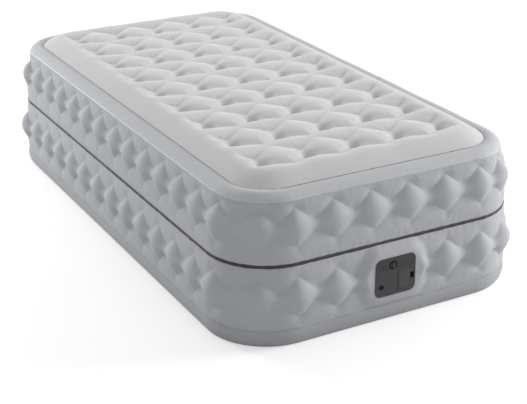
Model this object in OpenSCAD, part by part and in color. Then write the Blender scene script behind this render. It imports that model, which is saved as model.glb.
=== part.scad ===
// Twin double-height air mattress with a pump built into its foot end.
// Origin: middle of the footprint, on the floor. X is the width, Y the length,
// Z is up, and the pump end faces -Y.

/* [Overall] */
// width over the lower side bulge
bed_w = 990; // [900:10:1100]
// length over the lower side bulge
bed_l = 1800; // [1750:10:1950]
// height to the highest point of the top sheet
bed_h = 457; // [440:1:480]
// corner radius of the widest outline, in plan
corner_r = 205; // [195:1:220]
// thickness of the sheet material
skin_t = 1.2; // [0.8:0.1:2]

/* [Side profile] */
// height of the weld between the base band and the lower side wall
base_seam_z = 50; // [44:1:56]
// inset of that weld from the widest outline
base_seam_in = 17; // [12:1:20]
// inset of the base band where it meets the floor
base_foot_in = 24; // [22:1:30]
// height of the waist weld between the two chambers
waist_z = 232; // [225:1:240]
// inset of the waist weld
waist_in = 27; // [22:1:32]
// height of the weld between the upper side wall and the rim
rim_seam_z = 405; // [395:1:410]
// inset of that weld
rim_seam_in = 46; // [40:1:52]
// height of the weld between the rim and the top sheet
top_seam_z = 421; // [416:1:428]
// inset of that weld
top_seam_in = 92; // [86:1:100]
// how far the lower side wall bulges beyond a straight line
lower_bulge = 22; // [18:1:24]
// how far the upper side wall bulges beyond a straight line
upper_bulge = 21; // [16:1:24]
// how far the rim bulges beyond a straight line
rim_bulge = 8; // [5:1:10]

/* [Top sheet] */
// inset of the flat field inside the sloping margin
field_in = 160; // [150:1:170]
// distance between beam columns, along the length
column_pitch = 163; // [160:1:176]
// number of beam columns
column_count = 9; // [7:2:9]
// distance between dimples, across the width
dimple_pitch = 145; // [135:1:150]
// number of dimples in a column
dimple_count = 5; // [3:2:5]
// depth of a dimple
dimple_d = 22; // [12:1:28]
// radius of a dimple at the sheet
dimple_r = 24; // [18:1:25]

/* [Beams] */
// half width of a beam pair at a dimple
neck_half = 27; // [26:1:32]
// half width of a beam pair midway between dimples
apex_half = 72; // [55:1:75]
// thickness of a beam strip
strip_t = 1; // [0.8:0.1:2]
// width of the side webs
web_w = 34; // [20:1:40]
// radius of the air passages in the mid sheet
vent_r = 16; // [10:1:20]

/* [Pump] */
// middle of the pump panel, from the bed's middle
pump_x = 0; // [-60:1:60]
// height of the middle of the pump panel
pump_z = 136; // [120:1:145]
// width of the faceplate
panel_w = 128; // [124:1:132]
// height of the faceplate
panel_h = 112; // [108:1:114]
// corner radius of the faceplate
panel_r = 18; // [14:1:20]
// depth of the pump housing behind the face
housing_d = 120; // [118:1:140]
// radius of the intake opening
intake_r = 8; // [6:0.5:9]

/* [Motion] */
// how far the valve poppet opens
poppet_travel = 5; // [3:0.5:5.5]
// radial gap between each turning part and its bearing
run_gap = 0.05; // [0.02:0.01:0.1]

/* [Hidden] */
$fn = 72;
e = 0.01;
half_w = bed_w / 2;
half_l = bed_l / 2;
weld = 3; // half height of the waist weld
mid_z = waist_z - skin_t / 2; // underside of the mid sheet
field_z = bed_h - 8; // top of the flat field
sheet_under = field_z - skin_t;
face_y = -half_l + 5; // plane of the faceplate
part_u = 6.5; // where the door's parting line runs, across the panel
part_w = 19; // where the control strip ends, up the panel
knob_u = -9; // selector axis, across the panel
knob_w = 34; // selector axis, up the panel
lower_a = [-base_seam_in, base_seam_z + 2]; // lower side wall, bottom edge
lower_b = [-waist_in, waist_z - weld]; // lower side wall, top edge
upper_a = [-waist_in, waist_z + weld]; // upper side wall, bottom edge
upper_b = [-rim_seam_in, rim_seam_z - 2]; // upper side wall, top edge
motor_u = -31; // motor axis, across the panel
motor_w = -20; // motor axis, up the panel
shaft_r = 1.6;
pin_r = 1.25;
pin_u = part_u + 3.6; // hinge pin, across the panel
pin_d = 2.8; // hinge pin, behind the face
back_d = housing_d - 2; // front face of the housing's back wall

// sheets
c_top = [0.80, 0.80, 0.81];
c_wall = [0.66, 0.67, 0.69];
c_rim = [0.76, 0.76, 0.78];
c_weld = [0.42, 0.43, 0.45];
c_inner = [0.72, 0.74, 0.78];
// pump
c_panel = [0.30, 0.31, 0.32];
c_dark = [0.13, 0.13, 0.14];
c_label = [0.55, 0.56, 0.56];
c_steel = [0.70, 0.71, 0.72];
c_copper = [0.72, 0.45, 0.24];

// ---------- shared shapes ----------

// plan outline, set in from the widest outline
module outline(inset) {
    w = bed_w - 2 * inset;
    l = bed_l - 2 * inset;
    r = max(corner_r - inset, 1);
    square([w - 2 * r, l], center = true);
    square([w, l - 2 * r], center = true);
    for (x = [-1, 1], y = [-1, 1])
        translate([x * (w / 2 - r), y * (l / 2 - r)]) circle(r);
}

// one straight side of a ring: x of the 2D child is measured from the widest outline
module ring_side(length, reach) {
    translate([reach, length / 2, 0])
        rotate([90, 0, 0]) linear_extrude(length) children();
}

// a closed ring round the bed with the 2D child as its section
module ring() {
    long = bed_l - 2 * corner_r;
    wide = bed_w - 2 * corner_r;
    for (turn = [0, 180]) {
        rotate(turn) ring_side(long, half_w) children();
        rotate(turn + 90) ring_side(wide, half_l) children();
        rotate(turn) translate([half_w - corner_r, half_l - corner_r, 0])
            rotate_extrude(angle = 90) translate([corner_r, 0]) children();
        rotate(turn + 90) translate([half_l - corner_r, half_w - corner_r, 0])
            rotate_extrude(angle = 90) translate([corner_r, 0]) children();
    }
}

// arc from point a to point b that rises above the straight line between them
function arc_radius(a, b, rise) =
    (norm(b - a) * norm(b - a) / 4 + rise * rise) / (2 * rise);
function arc_out(a, b) = [b[1] - a[1], a[0] - b[0]] / norm(b - a);
function arc_centre(a, b, rise) =
    (a + b) / 2 - arc_out(a, b) * (arc_radius(a, b, rise) - rise);

// inset of the inner face of such a curved sheet at a height
function inset_at(a, b, rise, z) = -arc_centre(a, b, rise)[0]
    - sqrt(pow(arc_radius(a, b, rise) - skin_t, 2)
           - pow(z - arc_centre(a, b, rise)[1], 2));

// section of a curved sheet from point a to point b, bulging by rise to the outside
module skin(a, b, rise) {
    radius = arc_radius(a, b, rise);
    out = arc_out(a, b);
    centre = arc_centre(a, b, rise);
    intersection() {
        difference() {
            translate(centre) circle(radius, $fn = 180);
            translate(centre) circle(radius - skin_t, $fn = 180);
        }
        polygon([centre, centre + 2 * (a - centre), centre + 2.5 * radius * out,
            centre + 2 * (b - centre)]);
    }
}

// plain rectangular section, set in from the widest outline
module strip(inset, depth, z0, z1) {
    translate([-inset - depth, z0]) square([depth, z1 - z0]);
}

// zigzag line of one beam strip, cut off halfway through its end zags;
// side is +1 or -1
function zigzag(side) = [for (i = [-dimple_count : dimple_count])
    abs(i) == dimple_count
        ? [sign(i) * (dimple_count - 0.5) * dimple_pitch / 2,
           side * (neck_half + apex_half) / 2]
        : [i * dimple_pitch / 2,
           side * (abs(i) % 2 == (dimple_count - 1) % 2 ? neck_half : apex_half)]];

// closed outline of a thin strip that follows a line
function thick_line(line, t) = concat(
    [for (p = line) p + [0, t / 2]],
    [for (i = [len(line) - 1 : -1 : 0]) line[i] - [0, t / 2]]);

// two zigzag strips for each column, standing between two heights
module beam_set(z0, z1) {
    for (k = [0 : column_count - 1], side = [-1, 1])
        translate([0, (k - (column_count - 1) / 2) * column_pitch, z0])
            linear_extrude(z1 - z0) polygon(thick_line(zigzag(side), strip_t));
}

// visits every dimple of the top sheet
module at_dimples() {
    for (k = [0 : column_count - 1], i = [0 : dimple_count - 1])
        translate([(i - (dimple_count - 1) / 2) * dimple_pitch,
            (k - (column_count - 1) / 2) * column_pitch, 0]) children();
}

// puts the child in panel axes: x across, y back from the face, z up
module at_panel(u = 0, d = 0, w = 0) {
    translate([pump_x + u, face_y + d, pump_z + w]) children();
}

// round bar along +Y
module bar(r, length) {
    rotate([-90, 0, 0]) cylinder(r = r, h = length);
}

// slab with rounded corners, standing across Y
module slab(w, h, r, t) {
    translate([0, t, 0]) rotate([90, 0, 0]) linear_extrude(t) {
        square([w - 2 * r, h], center = true);
        square([w, h - 2 * r], center = true);
        for (x = [-1, 1], y = [-1, 1])
            translate([x * (w / 2 - r), y * (h / 2 - r)]) circle(r);
    }
}

// ---------- sheets of the bed ----------

module top_sheet() {
    start = top_seam_in + 6;
    color(c_top) difference() {
        union() {
            ring() polygon([[-start, top_seam_z - skin_t], [-start, top_seam_z],
                [-field_in, field_z], [-field_in - 6, field_z],
                [-field_in - 6, sheet_under], [-field_in, sheet_under]]);
            translate([0, 0, sheet_under]) linear_extrude(skin_t)
                outline(field_in + 6);
            at_dimples() translate([0, 0, sheet_under - dimple_d])
                cylinder(r1 = 8 + skin_t, r2 = dimple_r, h = dimple_d);
            pillows(0);
        }
        at_dimples() translate([0, 0, field_z - dimple_d + e])
            cylinder(r1 = 8, r2 = dimple_r - skin_t, h = dimple_d);
        pillows(skin_t);
    }
}

// raised cushions between the columns, each a shallow ball cap
module pillows(inset) {
    reach = 44;
    rise = bed_h - field_z;
    radius = (reach * reach + rise * rise) / (2 * rise);
    for (k = [0 : column_count - 2], i = [0 : dimple_count - 1])
        translate([(i - (dimple_count - 1) / 2) * dimple_pitch,
            (k - (column_count - 2) / 2) * column_pitch, 0])
            intersection() {
                translate([0, 0, bed_h - radius]) sphere(radius - inset, $fn = 180);
                translate([0, 0, inset > 0 ? sheet_under - 1 : field_z - 0.4])
                    cylinder(r = reach, h = 20);
            }
}

module top_seam() {
    color(c_weld) ring() strip(top_seam_in, 6, top_seam_z - 2.4, top_seam_z);
}

module top_rim() {
    color(c_rim) ring() skin([-rim_seam_in, rim_seam_z + 2.8],
        [-top_seam_in + 0.8, top_seam_z], rim_bulge);
}

module rim_seam() {
    color(c_rim) ring() strip(rim_seam_in, 7, rim_seam_z - 2, rim_seam_z + 2);
}

module upper_side_wall() {
    color(c_wall) ring() skin(upper_a, upper_b, upper_bulge);
}

module lower_side_wall() {
    color(c_wall) difference() {
        ring() skin(lower_a, lower_b, lower_bulge);
        at_panel(0, -20, 0) slab(panel_w + 14, panel_h + 14, panel_r + 7, 60);
    }
}

// flat rings that hold the side seams in
module upper_side_webs() {
    color(c_inner) for (share = [0.3, 0.7]) {
        z = upper_a[1] + share * (upper_b[1] - upper_a[1]);
        ring() strip(inset_at(upper_a, upper_b, upper_bulge, z) + 0.6, web_w, z, z + 1);
    }
}

module lower_side_webs() {
    color(c_inner) difference() {
        for (share = [0.3, 0.7]) {
            z = lower_a[1] + share * (lower_b[1] - lower_a[1]);
            ring() strip(inset_at(lower_a, lower_b, lower_bulge, z) + 0.6, web_w,
                z, z + 1);
        }
        at_panel(0, -20, 0) slab(panel_w + 36, 170, 4, housing_d + 40);
    }
}

module upper_beams() {
    color(c_inner) beam_set(waist_z + skin_t / 2, sheet_under);
}

module lower_beams() {
    color(c_inner) beam_set(skin_t, mid_z);
}

module mid_sheet() {
    color(c_inner) translate([0, 0, mid_z]) linear_extrude(skin_t) difference() {
        outline(waist_in + 9);
        for (k = [0 : column_count - 2], x = [-1, 1])
            translate([x * dimple_pitch, (k - (column_count - 2) / 2) * column_pitch])
                circle(vent_r);
    }
}

module waist_seam() {
    color(c_weld) ring() strip(waist_in, 9, waist_z - weld, waist_z + weld);
}

module base_seam() {
    color(c_weld) ring() strip(base_seam_in, 7, base_seam_z - 2, base_seam_z + 2);
}

module base_band() {
    color(c_wall) ring()
        skin([-base_foot_in, 0], [-base_seam_in, base_seam_z - 2], 4);
}

module bottom_sheet() {
    color(c_inner) linear_extrude(skin_t) outline(base_foot_in + 2);
}

// ---------- pump: fixed shell ----------

module pump_collar() {
    color(c_wall) at_panel(0, 2, 0) difference() {
        slab(panel_w + 12, panel_h + 12, panel_r + 6, 12);
        translate([0, -1, 0]) slab(panel_w + 1, panel_h + 1, panel_r + 0.5, 14);
    }
}

// moulded box behind the faceplate, with a motor bay, a cord bay and a valve bay
module pump_housing() {
    w = panel_w - 4;
    h = panel_h - 4;
    depth = housing_d - 3.2;
    color(c_panel) at_panel(0, 3.2, 0) difference() {
        union() {
            slab(w, h, panel_r - 2, depth);
            slab(panel_w + 1, panel_h + 1, panel_r + 0.5, 2);
        }
        bay(2 - w / 2, part_u - 2, 2 - h / 2, part_w - 5, depth - 1);
        bay(part_u + 0.5, w / 2 - 2, 2 - h / 2, part_w - 5, depth - 37);
        bay(2 - w / 2, w / 2 - 2, part_w - 2, h / 2 - 2, 66);
        // outlet in the back wall, and the way through for the cord
        translate([motor_u, depth - 10, motor_w]) bar(15, 40);
        translate([part_u - 12, 50, 6]) rotate([0, 90, 0]) cylinder(r = 3.2, h = 24);
        // room for the hinge barrel, its lugs and its pin
        translate([pin_u - 3.3, -1, -h / 2 - 4]) cube([6.6, 4.2, h / 2 + part_w + 8.4]);
    }
}

// rounded pocket between two widths and two heights, open to the front
module bay(u0, u1, w0, w1, depth) {
    translate([(u0 + u1) / 2, -1, (w0 + w1) / 2]) slab(u1 - u0, w1 - w0, 5, depth);
}

module faceplate() {
    color(c_panel) at_panel() difference() {
        union() {
            slab(panel_w, panel_h, panel_r, 3.2);
            // rear bowl behind the selector
            translate([knob_u, 3, knob_w]) bar(15, 6.2);
            // lugs for the hinge pin
            for (w = [-55, 15.9])
                translate([pin_u - 3, 3, w]) cube([6, 3, 5]);
        }
        // recess for the control strip
        translate([0, -1, (panel_h / 2 + part_w) / 2])
            slab(panel_w - 8, panel_h / 2 - part_w - 5, 8, 2.6);
        // bowl and shaft hole of the selector
        translate([knob_u, -1, knob_w]) bar(13, 8);
        translate([knob_u, -1, knob_w]) bar(4 + run_gap, 20);
        // door opening
        translate([part_u, -1, -49.9]) cube([54.5, 20, 65.8]);
        // intake opening
        translate([-46, -1, -26]) bar(intake_r, 20);
        // hinge pin holes
        translate([pin_u, pin_d, -53]) cylinder(r = pin_r + 0.01, h = 72);
        // finger well beside the door
        translate([60, -1, -19]) cube([2.5, 2.6, 18]);
    }
}

module control_strip() {
    color(c_dark) at_panel() difference() {
        translate([0, 0.2, (panel_h / 2 + part_w) / 2])
            slab(panel_w - 8.4, panel_h / 2 - part_w - 5.4, 7.8, 1.4);
        translate([knob_u, -1, knob_w]) bar(13, 8);
    }
}

// small raised arrows either side of the selector
module icon_marks() {
    color(c_label) for (side = [-1, 1])
        at_panel(knob_u + side * 34, 0, knob_w)
            translate([0, 0.2, 0]) rotate([90, 0, 0]) linear_extrude(0.3)
                polygon([[-4, -3], [4, -3], [0, 4]]);
}

module intake_grille() {
    color(c_dark) at_panel(-46, 3.2, -26) difference() {
        bar(10, 1.6);
        for (z = [-5.1, -1.7, 1.7, 5.1])
            translate([-6, -1, z - 0.7]) cube([12, 4, 1.4]);
    }
}

// ---------- pump: selector and door ----------

module selector_knob() {
    color(c_panel) at_panel(knob_u, 0, knob_w) {
        difference() {
            union() {
                translate([0, -1, 0]) bar(9, 7.2);
                translate([-3, -4.5, -8.5]) cube([6, 5, 17]);
            }
            translate([-0.6, -5.5, 2]) cube([1.2, 2, 7]);
        }
        translate([0, 6, 0]) bar(4, 9);
    }
}

module valve_rotor() {
    color(c_label) at_panel(knob_u, 15, knob_w) difference() {
        bar(12, 30);
        translate([-14, 15, 0]) rotate([0, 90, 0]) cylinder(r = 6, h = 28);
        translate([0, 6, 0]) bar(8, 30);
    }
}

module cord_door() {
    color(c_panel) at_panel() difference() {
        union() {
            translate([pin_u, 0, -49.6]) cube([50.4, 2.4, 65.2]);
            translate([pin_u, pin_d, -49.6]) cylinder(r = 2.8, h = 65.2);
            // stiffening ribs on the back
            for (w = [-34, 0]) translate([pin_u + 8, 2, w]) cube([36, 2, 1.6]);
        }
        translate([pin_u, pin_d, -52]) cylinder(r = pin_r + run_gap, h = 72);
        // finger notch
        translate([pin_u + 39, -1, -19]) cube([13, 5, 18]);
        // shallow seat for the label
        translate([pin_u + 5, -1, -42]) cube([30, 1.3, 54]);
    }
}

module door_label() {
    color(c_label) at_panel(pin_u + 5.2, 0, -41.8) cube([29.6, 0.3, 53.6]);
}

module hinge_pin() {
    color(c_steel) at_panel(pin_u, pin_d, -52.9) cylinder(r = pin_r, h = 71.5);
}

// ---------- pump: cord and plug ----------

// cord folded to and fro in the cord bay, in two layers
module power_cord() {
    run = 36;
    step = 10;
    color(c_dark) at_panel(15, 44, -44) for (layer = [0, 1]) translate([0, 9 * layer, 0]) {
        for (i = [0 : 4]) translate([i * step, 0, 0]) cylinder(r = 2.6, h = run);
        for (i = [0 : 3])
            translate([(i + 0.5) * step, 0, i % 2 == 0 ? run : 0])
                rotate([90, i % 2 == 0 ? 0 : 180, 0])
                    rotate_extrude(angle = 180) translate([step / 2, 0]) circle(2.6);
    }
    // bend that joins the two layers
    color(c_dark) at_panel(15 + 4 * step, 48.5, -44 + run) rotate([90, 0, 90])
        rotate_extrude(angle = 180) translate([4.5, 0]) circle(2.6);
}

module plug_body() {
    color(c_dark) at_panel(35, 16, -18) difference() {
        slab(26, 22, 5, 20);
        // finger grooves
        for (x = [-14, 12], y = [5, 9, 13]) translate([x, y, -6]) cube([2, 1.6, 12]);
    }
}

module plug_blades() {
    color(c_steel) for (w = [-6.35, 6.35])
        at_panel(35 - 3.2, 8.5, -18 + w) translate([0, 0, -0.75]) cube([6.4, 7.5, 1.5]);
}

// ---------- pump: motor and blower ----------

module motor_can() {
    color(c_steel) at_panel(motor_u, 36, motor_w) difference() {
        bar(19, 40);
        translate([0, -1, 0]) bar(17.6, 39);
        translate([0, 30, 0]) bar(shaft_r + run_gap, 20);
    }
}

module motor_end_cap() {
    color(c_dark) at_panel(motor_u, 32, motor_w) difference() {
        bar(19, 4);
        translate([0, -1, 0]) bar(shaft_r + run_gap, 8);
        for (turn = [45 : 90 : 315])
            rotate([0, turn, 0]) translate([13, -1, 0]) bar(1.5, 8);
    }
}

module motor_screws() {
    color(c_steel) at_panel(motor_u, 0, motor_w) for (turn = [45, 225])
        rotate([0, turn, 0]) translate([13, 30, 0]) {
            bar(1.5, 6);
            difference() {
                bar(3, 2);
                translate([-4, -1, -0.4]) cube([8, 1.8, 0.8]);
            }
        }
}

module armature() {
    color(c_copper) at_panel(motor_u, 42, motor_w) difference() {
        bar(15, 26);
        translate([0, -1, 0]) bar(shaft_r, 28);
        for (turn = [0 : 60 : 300])
            rotate([0, turn, 0]) translate([9, -1, -1.5]) cube([8, 28, 3]);
    }
}

module motor_shaft() {
    color(c_steel) at_panel(motor_u, 29, motor_w) bar(shaft_r, 68);
}

module impeller() {
    color(c_label) at_panel(motor_u, 84, motor_w) difference() {
        union() {
            bar(5, 12);
            bar(20, 1.6);
            for (turn = [0 : 45 : 315])
                rotate([0, turn, 0]) translate([4, 1, -0.6]) cube([15.5, 10, 1.2]);
        }
        translate([0, -1, 0]) bar(shaft_r, 20);
    }
}

module blower_scroll() {
    color(c_panel) at_panel(motor_u, 80, motor_w) difference() {
        bar(24.5, 20);
        translate([0, 2, 0]) bar(22.5, 20);
        translate([0, -1, 0]) bar(12, 4);
    }
}

module scroll_cover() {
    color(c_dark) at_panel(motor_u, 100, motor_w) difference() {
        bar(24.5, 1.6);
        for (turn = [0 : 60 : 300])
            rotate([0, turn, 0]) translate([14, -1, 0]) bar(4.5, 4);
    }
}

module switch_body() {
    color(c_dark) at_panel(knob_u + 30, 18, knob_w - 6) {
        cube([20, 16, 10]);
        for (y = [3, 8, 13]) translate([20 - e, y - 0.4, 4]) cube([5, 0.8, 2.4]);
    }
}

// ---------- pump: check valve in the back wall ----------

module valve_spider() {
    color(c_dark) at_panel(motor_u, back_d - 2, motor_w) difference() {
        bar(15, 2);
        for (turn = [0 : 60 : 300])
            rotate([0, turn, 0]) translate([8.8, -1, 0]) bar(3.6, 4);
        translate([0, -1, 0]) bar(2 + run_gap, 4);
    }
}

module valve_poppet() {
    color(c_label) at_panel(motor_u, 0, motor_w) {
        translate([0, housing_d + 1.5, 0]) bar(18, 2);
        translate([0, back_d - 14, 0]) bar(2, 18);
        translate([0, back_d - 14, 0]) bar(4, 1.2);
    }
}

module poppet_seal() {
    color(c_dark) at_panel(motor_u, housing_d, motor_w) difference() {
        bar(18, 1.5);
        translate([0, -1, 0]) bar(15, 4);
    }
}

// coils between the spider and the poppet's collar
module valve_spring() {
    color(c_steel) at_panel(motor_u, 0, motor_w) for (i = [0 : 4])
        translate([0, back_d - 12.2 + 2.3 * i, 0]) rotate([-90, 0, 0])
            rotate_extrude() translate([3.1, 0]) circle(0.4);
}

top_sheet();
top_seam();
top_rim();
rim_seam();
upper_side_wall();
upper_side_webs();
upper_beams();
mid_sheet();
waist_seam();
lower_side_wall();
lower_side_webs();
lower_beams();
base_seam();
base_band();
bottom_sheet();
pump_collar();
pump_housing();
faceplate();
control_strip();
icon_marks();
selector_knob();
valve_rotor();
cord_door();
door_label();
hinge_pin();
power_cord();
plug_body();
plug_blades();
intake_grille();
motor_can();
motor_end_cap();
motor_screws();
armature();
motor_shaft();
impeller();
blower_scroll();
scroll_cover();
valve_poppet();
poppet_seal();
valve_spring();
valve_spider();
switch_body();
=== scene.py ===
import math

import bmesh
import bpy
import numpy as np
from mathutils import Matrix, Vector


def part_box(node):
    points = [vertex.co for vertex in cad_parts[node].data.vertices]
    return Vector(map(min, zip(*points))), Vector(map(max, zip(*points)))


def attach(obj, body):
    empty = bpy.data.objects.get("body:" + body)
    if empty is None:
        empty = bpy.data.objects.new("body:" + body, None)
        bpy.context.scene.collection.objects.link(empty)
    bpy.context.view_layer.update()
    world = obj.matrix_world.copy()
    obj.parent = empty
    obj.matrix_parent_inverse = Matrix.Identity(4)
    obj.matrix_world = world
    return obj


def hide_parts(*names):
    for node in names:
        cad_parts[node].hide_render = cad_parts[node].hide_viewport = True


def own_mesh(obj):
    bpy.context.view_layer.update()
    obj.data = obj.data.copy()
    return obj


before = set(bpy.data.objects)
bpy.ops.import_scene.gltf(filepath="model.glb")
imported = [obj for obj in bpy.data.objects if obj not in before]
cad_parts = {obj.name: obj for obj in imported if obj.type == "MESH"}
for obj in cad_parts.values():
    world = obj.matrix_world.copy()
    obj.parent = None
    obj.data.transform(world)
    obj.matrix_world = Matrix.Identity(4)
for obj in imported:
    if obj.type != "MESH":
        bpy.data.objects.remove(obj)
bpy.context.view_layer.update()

# ---------------------------------------------------------------- sizes, all in metres
CORNER_R = 0.205                       # corner radius of the widest outline
HALF_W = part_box("lower_side_wall")[1][0]
HALF_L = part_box("lower_side_wall")[1][1]
STRAIGHT_W = 2 * (HALF_W - CORNER_R)
STRAIGHT_L = 2 * (HALF_L - CORNER_R)
ARC = CORNER_R * math.pi / 2
ROUND = 2 * STRAIGHT_W + 2 * STRAIGHT_L + 4 * ARC   # length of the widest outline


def inset_of(node):
    """How far a ring node's outer edge lies inside the widest outline."""
    return HALF_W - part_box(node)[1][0]


BASE_SEAM_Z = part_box("base_seam")[1][2]
WAIST_LOW, WAIST_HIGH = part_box("waist_seam")[0][2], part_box("waist_seam")[1][2]
RIM_SEAM_LOW, RIM_SEAM_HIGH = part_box("rim_seam")[0][2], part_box("rim_seam")[1][2]
TOP_SEAM_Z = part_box("top_seam")[1][2]
BASE_IN = inset_of("base_seam")
WAIST_IN = inset_of("waist_seam")
RIM_IN = inset_of("rim_seam")
TOP_SEAM_IN = inset_of("top_seam")
FOOT_IN = 0.024                        # how far the foot of the base band is tucked in
TOP_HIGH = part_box("top_sheet")[1][2]

COLUMNS = 9                            # beam columns along the bed
COLUMN_PITCH = 0.163
DIMPLES = 5                            # dimples in a column, across the bed
DIMPLE_PITCH = 0.145
VENT_R = 0.016                         # vents through the partition
NECK_HALF = 0.027                      # half width of a beam chain at a dimple
APEX_HALF = 0.072                      # and midway between dimples

SIDE_PITCH = 0.113                     # zigzag pitch on the long sides
END_PITCH = 0.118                      # and on the two ends
STEP = 0.006                           # point spacing of the walls, bands and beads
FINE_STEP = 0.003                      # grid spacing where the blown-up sheets are solved
WELD_WIDTH = 0.0024                    # half width of a weld line on a solved sheet
FILM = 0.0008                          # thickness of the strips and webs inside
FLAT = 0.0004                          # height of the lowest fabric above the floor

FACE_LOW, FACE_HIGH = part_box("faceplate")
COLLAR_LOW, COLLAR_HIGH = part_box("pump_collar")
PUMP_X = (FACE_LOW[0] + FACE_HIGH[0]) / 2
PUMP_Z = (FACE_LOW[2] + FACE_HIGH[2]) / 2


# ---------------------------------------------------------------- small maths
def smooth(a, b, x):
    """0 below a, 1 above b, with a soft step between."""
    t = np.clip((x - a) / (b - a), 0, 1)
    return t * t * (3 - 2 * t)


def ripple(x, period, waves, seed):
    """Seeded wavy noise from -1 to 1 that repeats after the given period."""
    rng = np.random.default_rng(seed)
    total = np.zeros_like(x)
    for n in waves:
        total += rng.uniform(0.5, 1) * np.sin(2 * math.pi * n * x / period + rng.uniform(0, 6.283))
    return total / len(waves)


def ring_path(s):
    """Point on the widest outline and its outward normal, s metres round from the middle of the pump end."""
    s = np.mod(s, ROUND)
    x, y, nx, ny = (np.zeros_like(s) for _ in range(4))
    start, turn = -STRAIGHT_W / 2, -math.pi / 2
    wrapped = np.where(s > ROUND - STRAIGHT_W / 2, s - ROUND, s)
    for side in range(4):
        length = STRAIGHT_W if side % 2 == 0 else STRAIGHT_L
        reach = HALF_L if side % 2 == 0 else HALF_W
        out = np.array([math.cos(turn), math.sin(turn)])
        along = np.array([-out[1], out[0]])
        here = (wrapped >= start) & (wrapped < start + length)
        c = wrapped - start - length / 2
        x[here] = (out[0] * reach + along[0] * c)[here]
        y[here] = (out[1] * reach + along[1] * c)[here]
        nx[here], ny[here] = out
        here = (wrapped >= start + length) & (wrapped < start + length + ARC)
        angle = turn + (wrapped - start - length) / CORNER_R
        cx, cy = out * (reach - CORNER_R) + along * length / 2
        x[here] = (cx + CORNER_R * np.cos(angle))[here]
        y[here] = (cy + CORNER_R * np.sin(angle))[here]
        nx[here], ny[here] = np.cos(angle)[here], np.sin(angle)[here]
        start += length + ARC
        turn += math.pi / 2
    return x, y, nx, ny


def arc_profile(a, b, rise, t):
    """Inset, height and outward tilt along a bulging section from a to b, each (inset, height)."""
    a, b = np.array([-a[0], a[1]]), np.array([-b[0], b[1]])
    chord = np.linalg.norm(b - a)
    radius = (chord ** 2 / 4 + rise ** 2) / (2 * rise)
    out = np.array([b[1] - a[1], a[0] - b[0]]) / chord
    centre = (a + b) / 2 - out * (radius - rise)
    mid = math.atan2(out[1], out[0])
    half = math.asin(chord / 2 / radius)
    angle = mid + half * (2 * t - 1)
    return (-(centre[0] + radius * np.cos(angle)), centre[1] + radius * np.sin(angle), angle)


def blow_up(start, hold, target, load, step, ceiling, wrap=False):
    """Height of a taut sheet blown up between its welds: it meets target where hold is 1 and bulges
    under load elsewhere, up to the ceiling. Solved by over-relaxation on a grid; wrap joins its ends."""
    rounds, relax = 260, 1.86
    h = start.copy()
    row, col = np.indices(h.shape)
    colour = (row + col) % 2
    push = load * step ** 2
    for k in range(2 * rounds):
        if wrap:
            left, right = np.roll(h, 1, 1), np.roll(h, -1, 1)
        else:
            left = np.hstack([h[:, :1], h[:, :-1]])
            right = np.hstack([h[:, 1:], h[:, -1:]])
        below = np.vstack([h[:1], h[:-1]])
        above = np.vstack([h[1:], h[-1:]])
        settled = (left + right + below + above + push) / 4
        moved = np.minimum(h + relax * (settled - h), ceiling)
        h = np.where(colour == k % 2, moved * (1 - hold) + target * hold, h)
    return h


def sample(grid, u, v):
    """Bilinear lookup at fractional column u and row v."""
    rows, cols = grid.shape
    u = np.clip(u, 0, cols - 1.001)
    v = np.clip(v, 0, rows - 1.001)
    i, j = v.astype(int), u.astype(int)
    fu, fv = u - j, v - i
    return ((grid[i, j] * (1 - fu) + grid[i, j + 1] * fu) * (1 - fv)
            + (grid[i + 1, j] * (1 - fu) + grid[i + 1, j + 1] * fu) * fv)


# ---------------------------------------------------------------- mesh helpers
def mesh_object(name, points, faces):
    """A smooth-shaded object made of the given points and faces."""
    mesh = bpy.data.meshes.new(name)
    mesh.from_pydata([tuple(p) for p in points], [], faces)
    mesh.validate()
    obj = bpy.data.objects.new(name, mesh)
    bpy.context.scene.collection.objects.link(obj)
    mesh.polygons.foreach_set("use_smooth", [True] * len(mesh.polygons))
    return obj


def grid_faces(rows, cols, closed=False, keep=None, base=0):
    """Quads over a grid of points numbered from base; closed joins the last column to the first."""
    faces = []
    for i in range(rows - 1):
        for j in range(cols if closed else cols - 1):
            if keep is None or keep[i, j]:
                k = (j + 1) % cols
                here, above = base + i * cols, base + (i + 1) * cols
                faces.append((here + j, here + k, above + k, above + j))
    return faces


def sheet(name, points, closed=False, keep=None, flip=False):
    """A sheet from a rows x columns x 3 array; keep says which faces stay."""
    faces = grid_faces(*points.shape[:2], closed, keep)
    if flip:
        faces = [quad[::-1] for quad in faces]
    obj = mesh_object(name, points.reshape(-1, 3), faces)
    drop_loose(obj)
    return obj


def film_bands(name, grids, closed=False, keep=None):
    """Several thin bands, each a rows x columns x 3 array, as one thickened piece."""
    points, faces = [], []
    for grid in grids:
        faces += grid_faces(*grid.shape[:2], closed, keep, base=len(points))
        points += grid.reshape(-1, 3).tolist()
    obj = mesh_object(name, points, faces)
    drop_loose(obj)
    mod = obj.modifiers.new("thick", "SOLIDIFY")
    mod.thickness = FILM
    apply_modifiers(obj)
    return obj


def drop_loose(obj):
    """Deletes points that no face uses."""
    bm = bmesh.new()
    bm.from_mesh(obj.data)
    loose = [v for v in bm.verts if not v.link_faces]
    if loose:
        bmesh.ops.delete(bm, geom=loose, context="VERTS")
        bm.to_mesh(obj.data)
    bm.free()


def ring_points(s, inset, z):
    """Points round the bed: s, inset and z broadcast together."""
    s, inset, z = np.broadcast_arrays(s, inset, z)
    x, y, nx, ny = ring_path(s)
    return np.stack([x - inset * nx, y - inset * ny, z], -1)


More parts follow.
